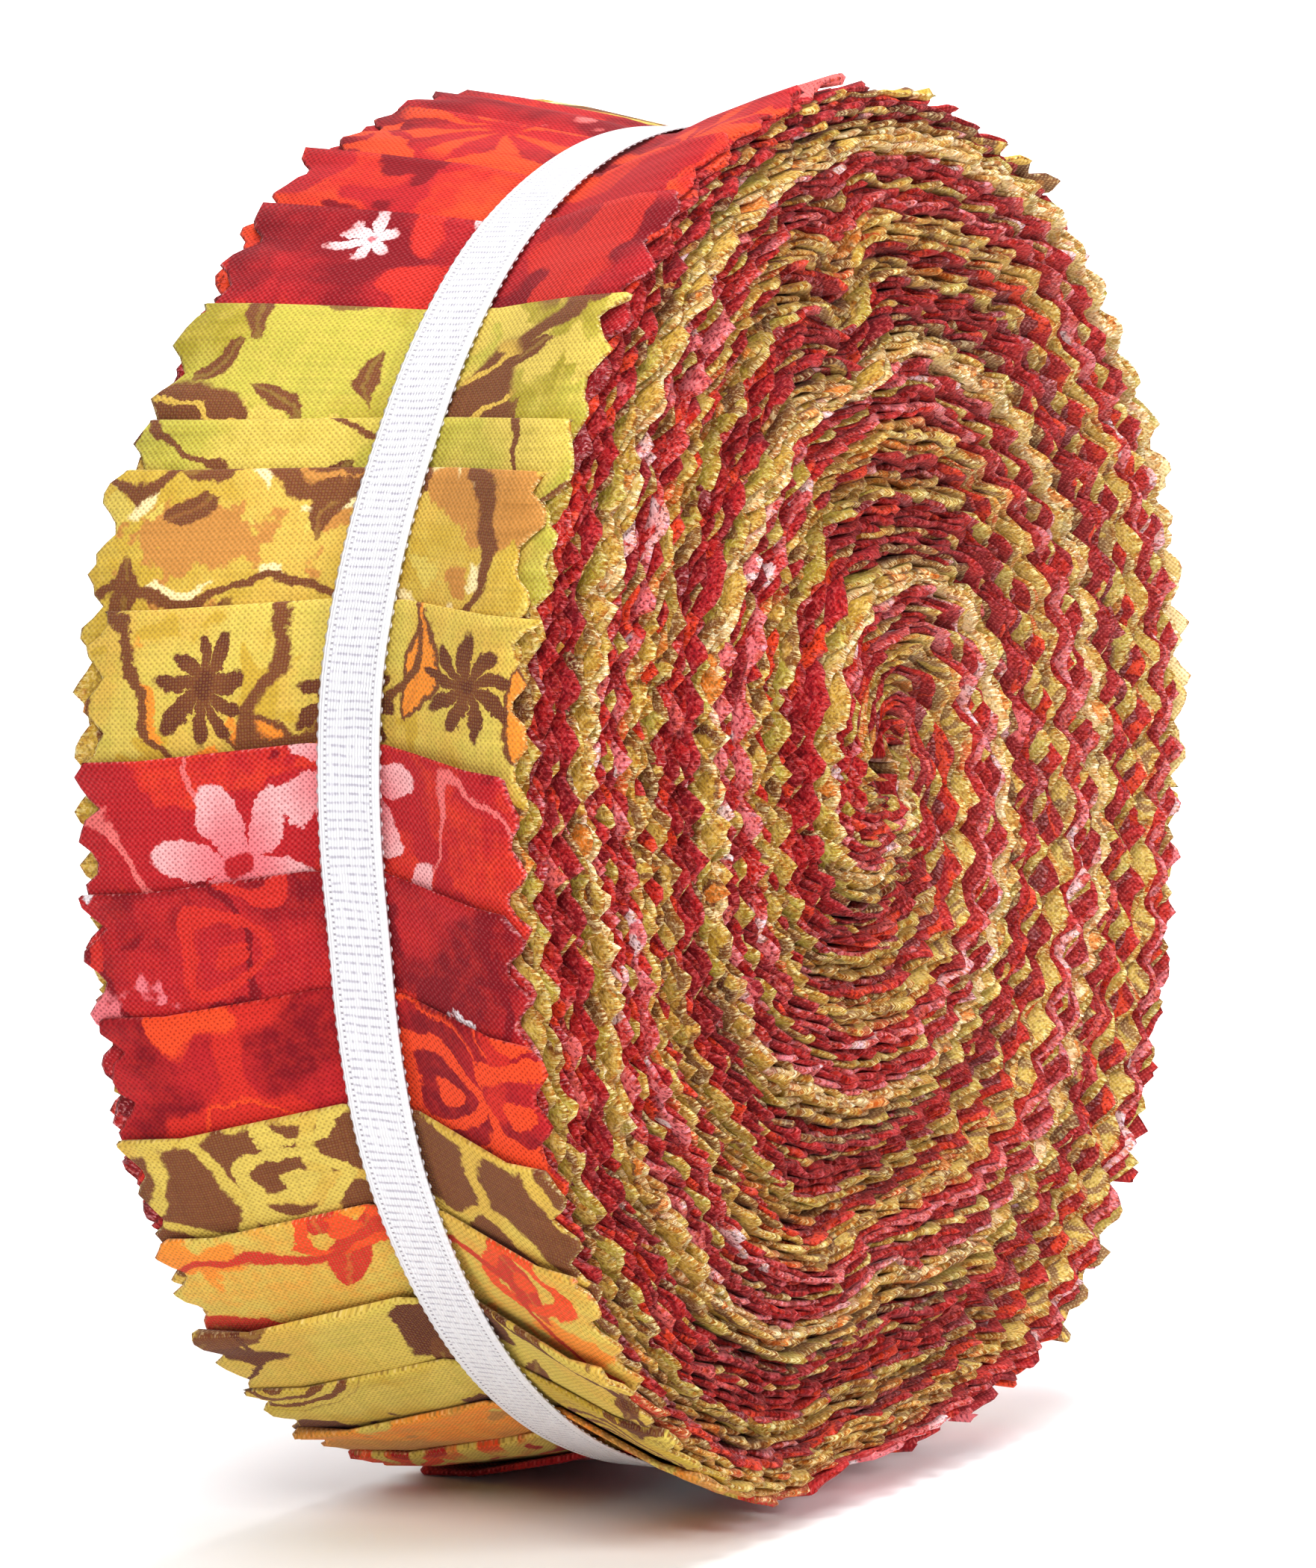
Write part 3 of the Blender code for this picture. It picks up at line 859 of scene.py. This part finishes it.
# Each print: three ground colours, the colours of its cut edge, its motifs in order.
# A motif's values are those of its method in Cotton, after the colour so far.
PRINTS = {
    "cream_daisy": cream_print(ground=(CREAM, GOLD, YELLOW), motifs=[
        ("blots", (ORANGE, 60.0, 0.62, 0.4)),
        ("flower", ((BLUSH, CREAM), TAN, 55.0, 0.0055, 5, 0.8, 0.2))]),
    "cream_leaf": cream_print(ground=(CREAM, YELLOW, GOLD), motifs=[
        ("blots", (TAN, 45.0, 0.60, 0.9)),
        ("leaves", (OLIVE, 80.0, 0.0065, 0.0018, 0.3))]),
    "gold_leaf": gold_print(ground=(GOLD, MUSTARD, YELLOW), glow=TAN, motifs=[
        ("leaves", (ORANGE, 70.0, 0.0070, 0.0030, 0.6, 0.2, UMBER)),
        ("stems", (BROWN, 30.0, 0.018))]),
    "olive_vine": gold_print(ground=(LIME, OLIVE, YELLOW), glow=GOLD, motifs=[
        ("blots", (YELLOW, 50.0, 0.58, 0.3)),
        ("stems", (UMBER, 26.0, 0.020)),
        ("leaves", (UMBER, 100.0, 0.0050, 0.0018, 0.5, 0.3)),
        ("coral", (UMBER, 24.0, 0.60, GOLD, 120.0, 0.05, 0.35))]),
    "lime_bud": gold_print(ground=(LIME, YELLOW, OLIVE), warm=0.15, glow=GOLD, motifs=[
        ("leaves", (BROWN, 75.0, 0.0058, 0.0030, 0.1, 0.25)),
        ("stems", (UMBER, 40.0, 0.020))]),
    "mustard_rings": gold_print(ground=(YELLOW, MUSTARD, LIME), glow=GOLD, motifs=[
        ("rings", (UMBER, 34.0, 0.0027, 0.4, 0.1, 4.2)),
        ("blots", (BROWN, 60.0, 0.66, 0.2))]),
    "mustard_scroll": gold_print(ground=(GOLD, MUSTARD, YELLOW), glow=GOLD, motifs=[
        ("blots", (TAN, 60.0, 0.53, 0.2, 4.0)),
        ("blots", (YELLOW, 70.0, 0.58, 0.6, 4.0)),
        ("leaves", (UMBER, 85.0, 0.0052, 0.0021, 0.5, 0.35)),
        ("stems", (UMBER, 36.0, 0.022, CREAM))]),
    "gold_star": gold_print(ground=(YELLOW, GOLD, LIME), glow=GOLD, motifs=[
        ("blots", (MUSTARD, 60.0, 0.56, 0.1)),
        ("leaves", (ORANGE, 62.0, 0.0075, 0.0036, 0.2, 0.35, UMBER)),
        ("stems", (UMBER, 30.0, 0.016, ORANGE)),
        ("flower", ((UMBER, BROWN), BROWN, 44.0, 0.0068, 9, 0.7, 0.7, 0.45))]),
    "scarlet_daisy": red_print(ground=(SCARLET, CRIMSON, FLAME), pale=BLUSH, motifs=[
        ("blots", (CRIMSON, 46.0, 0.52, 0.5)),
        ("blots", (DEEP_RED, 60.0, 0.64, 0.9)),
        ("stems", (PALE_RED, 34.0, 0.010)),
        ("flower", ((PINK, BLUSH), CRIMSON, 36.0, 0.0105, 6, 0.9, 0.9, 0.3))]),
    "crimson_blot": red_print(ground=(CRIMSON, DEEP_RED, SCARLET), pale=BLUSH, motifs=[
        ("stems", (DEEP_RED, 40.0, 0.030)),
        ("rings", (SCARLET, 46.0, 0.0040, 0.2, 0.2)),
        ("blots", (DEEP_RED, 40.0, 0.57, 0.5)),
        ("blots", (PINK, 55.0, 0.68, 0.3, 4.0)),
        ("blots", (WHITE, 60.0, 0.665, 0.72, 5.0))]),
    "crimson_paisley": red_print(ground=(CRIMSON, DEEP_RED, SCARLET), pale=PALE_RED, motifs=[
        ("blots", (SCARLET, 38.0, 0.55, 0.1, 2.0)),
        ("blots", (FLAME, 44.0, 0.62, 0.6, 2.0)),
        ("rings", (FLAME, 42.0, 0.0050, 0.8, 0.1, 2.2))]),
    "crimson_spray": red_print(ground=(DEEP_RED, CRIMSON, DEEP_RED), pale=PALE_RED, motifs=[
        ("blots", (PALE_RED, 60.0, 0.60, 0.6, 3.0)),
        ("flower", ((PINK, BLUSH), CRIMSON, 50.0, 0.0050, 5, 0.6, 0.3, 0.5))]),
    "crimson_marble": red_print(ground=(CRIMSON, DEEP_RED, SCARLET), pale=PALE_RED, motifs=[
        ("blots", (SCARLET, 70.0, 0.56, 0.3))]),
    "maroon_marble": red_print(ground=(DEEP_RED, CRIMSON, (0.15, 0.012, 0.03)), pale=PALE_RED, motifs=[
        ("blots", (CRIMSON, 60.0, 0.57, 0.8)),
        ("blots", (PINK, 80.0, 0.68, 0.2))]),
    "maroon_daisy": red_print(ground=(DEEP_RED, CRIMSON, DEEP_RED), pale=BLUSH, motifs=[
        ("blots", (SCARLET, 45.0, 0.55, 0.5, 2.0)),
        ("flower", ((WHITE, BLUSH), PINK, 52.0, 0.0046, 6, 0.6, 0.9, 0.45))]),
    "poppy_streak": red_print(ground=(CRIMSON, DEEP_RED, SCARLET), pale=PALE_RED, motifs=[
        ("streaks", (FLAME, 34.0, 0.4, 0.1)),
        ("leaves", (FLAME, 40.0, 0.0130, 0.0036, 0.7, 0.3))]),
    "rose_daisy": red_print(ground=(SCARLET, PINK, CRIMSON), pale=BLUSH, motifs=[
        ("blots", (PINK, 60.0, 0.55, 0.2)),
        ("flower", ((BLUSH, WHITE), SCARLET, 60.0, 0.0055, 5, 0.6, 0.6, 0.3))]),
    "orange_leaf": red_print(ground=(FLAME, SCARLET, FLAME), pale=PALE_RED, motifs=[
        ("blots", (CRIMSON, 36.0, 0.54, 0.8, 2.0)),
        ("blots", (DEEP_RED, 44.0, 0.62, 0.3, 3.0))]),
    "orange_vine": gold_print(ground=(YELLOW, GOLD, ORANGE), glow=ORANGE, motifs=[
        ("blots", (ORANGE, 50.0, 0.60, 0.4)),
        ("leaves", (SCARLET, 64.0, 0.0080, 0.0034, 0.9, 0.25)),
        ("rings", (FLAME, 50.0, 0.0044, 0.3, 0.4)),
        ("stems", (SCARLET, 36.0, 0.030))]),
    "orange_marble": gold_print(ground=(ORANGE, TAN, GOLD), glow=TAN, motifs=[
        ("blots", (TAN, 60.0, 0.55, 0.5)),
        ("blots", (YELLOW, 70.0, 0.63, 0.1))]),
    "brown_scroll": red_print(ground=(UMBER, BROWN, TAN), pale=PALE_GOLD, motifs=[
        ("rings", (GOLD, 48.0, 0.0044, 0.6, 0.2)),
        ("blots", (TAN, 60.0, 0.58, 0.3))]),
    "giraffe": gold_print(ground=(GOLD, YELLOW, MUSTARD), glow=GOLD, motifs=[
        ("spots", (UMBER, 88.0, 0.07)),
        ("rings", (YELLOW, 46.0, 0.0046, 0.5, 0.72))]),
    "gold_blot": gold_print(ground=(YELLOW, GOLD, LIME), glow=TAN, motifs=[
        ("blots", (BROWN, 48.0, 0.575, 0.6, 3.0)),
        ("leaves", (UMBER, 70.0, 0.0060, 0.0020, 0.4, 0.4)),
        ("stems", (BROWN, 26.0, 0.010))]),
    "gold_streak": gold_print(ground=(FLAME, YELLOW, SCARLET), warm=0.2, glow=ORANGE, motifs=[
        ("blots", (CRIMSON, 55.0, 0.58, 0.2)),
        ("streaks", (YELLOW, 50.0, 0.8, 0.2))]),
}


def ribbon_cloth():
    """White woven ribbon: uneven cross ribs with lilac gaps, pin points beside the selvedges."""
    cloth = Cloth("ribbon_white")
    slow = cloth.noise(cloth.stretched(160.0, 160.0), 1.0, 2.0)
    bent = cloth.scaled(slow, 0.0007, cloth.along)
    rib = cloth.size_of(cloth.sine(cloth.times(bent, math.pi / RIB_PITCH)))
    broken = cloth.noise(cloth.stretched(250.0, 1500.0), 1.0, 2.0)
    side = cloth.size_of(cloth.across)
    middle = cloth.step(cloth.minus(0.0031, side), 0.0, 0.0003)
    gap = cloth.times(cloth.step(rib, 0.75, 0.15), cloth.step(broken, 0.30, 0.60))
    gap = cloth.times(gap, middle)
    colour = cloth.blend(cloth.times(gap, 0.75), (0.86, 0.85, 0.88), (0.40, 0.37, 0.46))

    beside = cloth.size_of(cloth.minus(side, 0.0032))
    dotted = cloth.sine(cloth.times(cloth.along, 2 * math.pi / PIN_PITCH))
    pins = cloth.times(cloth.step(beside, 0.00022, 0.00008), cloth.step(dotted, 0.1, 0.7))
    colour = cloth.blend(cloth.times(pins, 0.8), colour, (0.16, 0.13, 0.17))

    yarn = cloth.sine(cloth.times(cloth.across, 2 * math.pi / RIBBON_YARN))
    between = cloth.times(cloth.step(yarn, -0.1, -1.0), 0.16)
    colour = cloth.blend(between, colour, (0.55, 0.53, 0.60))
    cloth.join(colour, cloth.shader.inputs["Base Color"])
    cloth.relief(cloth.plus(cloth.times(yarn, 0.35), cloth.times(rib, 0.9)), 0.7, 0.00018)
    cloth.shader.inputs["Roughness"].default_value = 0.55
    cloth.shader.inputs["Sheen Weight"].default_value = 0.1
    return cloth.material


def set_camera():
    """Long lens at 61 degrees to the left of the front face, a little above the middle."""
    azimuth, rise, far = math.radians(VIEW_AZIMUTH), math.radians(3.96), 0.70
    away = np.array([
        math.sin(azimuth) * math.cos(rise), -math.cos(azimuth) * math.cos(rise), math.sin(rise)])
    spot = np.array([0.0, 0.0, CENTRE_Z]) + away * far
    look = -away
    right = np.cross(look, [0, 0, 1.0])
    right /= np.linalg.norm(right)
    up = np.cross(right, look)
    pan, tilt = math.radians(-0.25), math.radians(0.07)
    look = look * math.cos(pan) + right * math.sin(pan)
    look = look * math.cos(tilt) + up * math.sin(tilt)
    right = np.cross(look, [0, 0, 1.0])
    right /= np.linalg.norm(right)
    up = np.cross(right, look)
    data = bpy.data.cameras.new("camera")
    data.lens = 119.9
    data.sensor_width = 36.0
    data.clip_start = 0.01
    camera = bpy.data.objects.new("camera", data)
    bpy.context.scene.collection.objects.link(camera)
    stand = Matrix.Identity(4)
    for i in range(3):
        stand[i] = (right[i], up[i], -look[i], spot[i])
    camera.matrix_world = stand
    bpy.context.scene.camera = camera


def set_stage():
    """Pale paper sweep, bright surroundings and large soft lamps.

    The sweep is a floor that turns up into a wall behind the roll: along the view its
    height is zero, then a quarter circle, then a straight rise.
    """
    bend = np.linspace(0.1, math.pi / 2, 12)
    along = np.concatenate([np.linspace(-2.5, 1.4, 8), 1.4 + 0.9 * np.sin(bend), np.full(4, 2.3)])
    up = np.concatenate([np.zeros(8), 0.9 - 0.9 * np.cos(bend), np.linspace(1.2, 3.5, 4)])
    away = np.array([-math.sin(math.radians(VIEW_AZIMUTH)), math.cos(math.radians(VIEW_AZIMUTH))])
    side = np.array([away[1], -away[0]])
    across = np.linspace(-3.0, 3.0, 5)
    flat = along[:, None, None] * away + across[None, :, None] * side
    height = np.broadcast_to(up[:, None, None], (len(up), len(across), 1))
    points = np.concatenate([flat, height], axis=2).reshape(-1, 3)
    corner = (np.arange(23)[:, None] * 5 + np.arange(4)[None, :]).ravel()
    faces = np.stack([corner, corner + 1, corner + 6, corner + 5], axis=1)
    mesh = bpy.data.meshes.new("floor")
    mesh.from_pydata(points.tolist(), [], faces.tolist())
    mesh.polygons.foreach_set("use_smooth", np.ones(len(faces), dtype=bool))
    floor = bpy.data.objects.new("floor", mesh)
    bpy.context.scene.collection.objects.link(floor)
    cover = bpy.data.materials.new("floor_paper")
    cover.use_nodes = True
    shader = cover.node_tree.nodes["Principled BSDF"]
    shader.inputs["Base Color"].default_value = (0.93, 0.93, 0.935, 1)
    shader.inputs["Roughness"].default_value = 0.75
    shader.inputs["Specular IOR Level"].default_value = 0.15
    mesh.materials.append(cover)
    world = bpy.data.worlds.new("studio")
    world.use_nodes = True
    world.node_tree.nodes["Background"].inputs["Color"].default_value = (1.0, 1.0, 1.0, 1)
    world.node_tree.nodes["Background"].inputs["Strength"].default_value = 0.26
    bpy.context.scene.world = world
    # name, place, width, power, aim
    lamps = [("left_window", (-1.15, -0.55, 1.0), 0.6, 15.0, (0, 0, 0.10)),
             ("front_window", (-0.15, -1.35, 0.75), 0.5, 11.5, (0, 0, 0.08)),
             ("overhead", (0.15, -0.1, 1.4), 0.5, 14.5, (0, 0, 0.1)),
             ("wall_wash", (1.0, 0.4, 1.7), 1.6, 70.0, (2.0, 1.1, 0.9))]
    for name, spot, width, power, goal in lamps:
        data = bpy.data.lights.new(name, "AREA")
        data.size = width
        data.energy = power
        lamp = bpy.data.objects.new(name, data)
        bpy.context.scene.collection.objects.link(lamp)
        lamp.rotation_euler = (Vector(goal) - Vector(spot)).to_track_quat("-Z", "Y").to_euler()
        lamp.location = spot
    bpy.context.scene.view_settings.view_transform = "Standard"


set_camera()
set_stage()

for number in range(COUNT):
    strip, cut_length = wound_strip(number)
    print_name = STRIPS[number][1]
    cloth_name = f"cotton_{number + 1:02d}_{print_name}"
    strip.data.materials.append(printed_cotton(cloth_name, PRINTS[print_name], 40 + number))
    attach(strip, "root")
    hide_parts(f"strip_end_{number + 1:02d}", "roll")

band, band_length = ribbon_band()
band.data.materials.append(ribbon_cloth())
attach(band, "root")
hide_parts("ribbon")
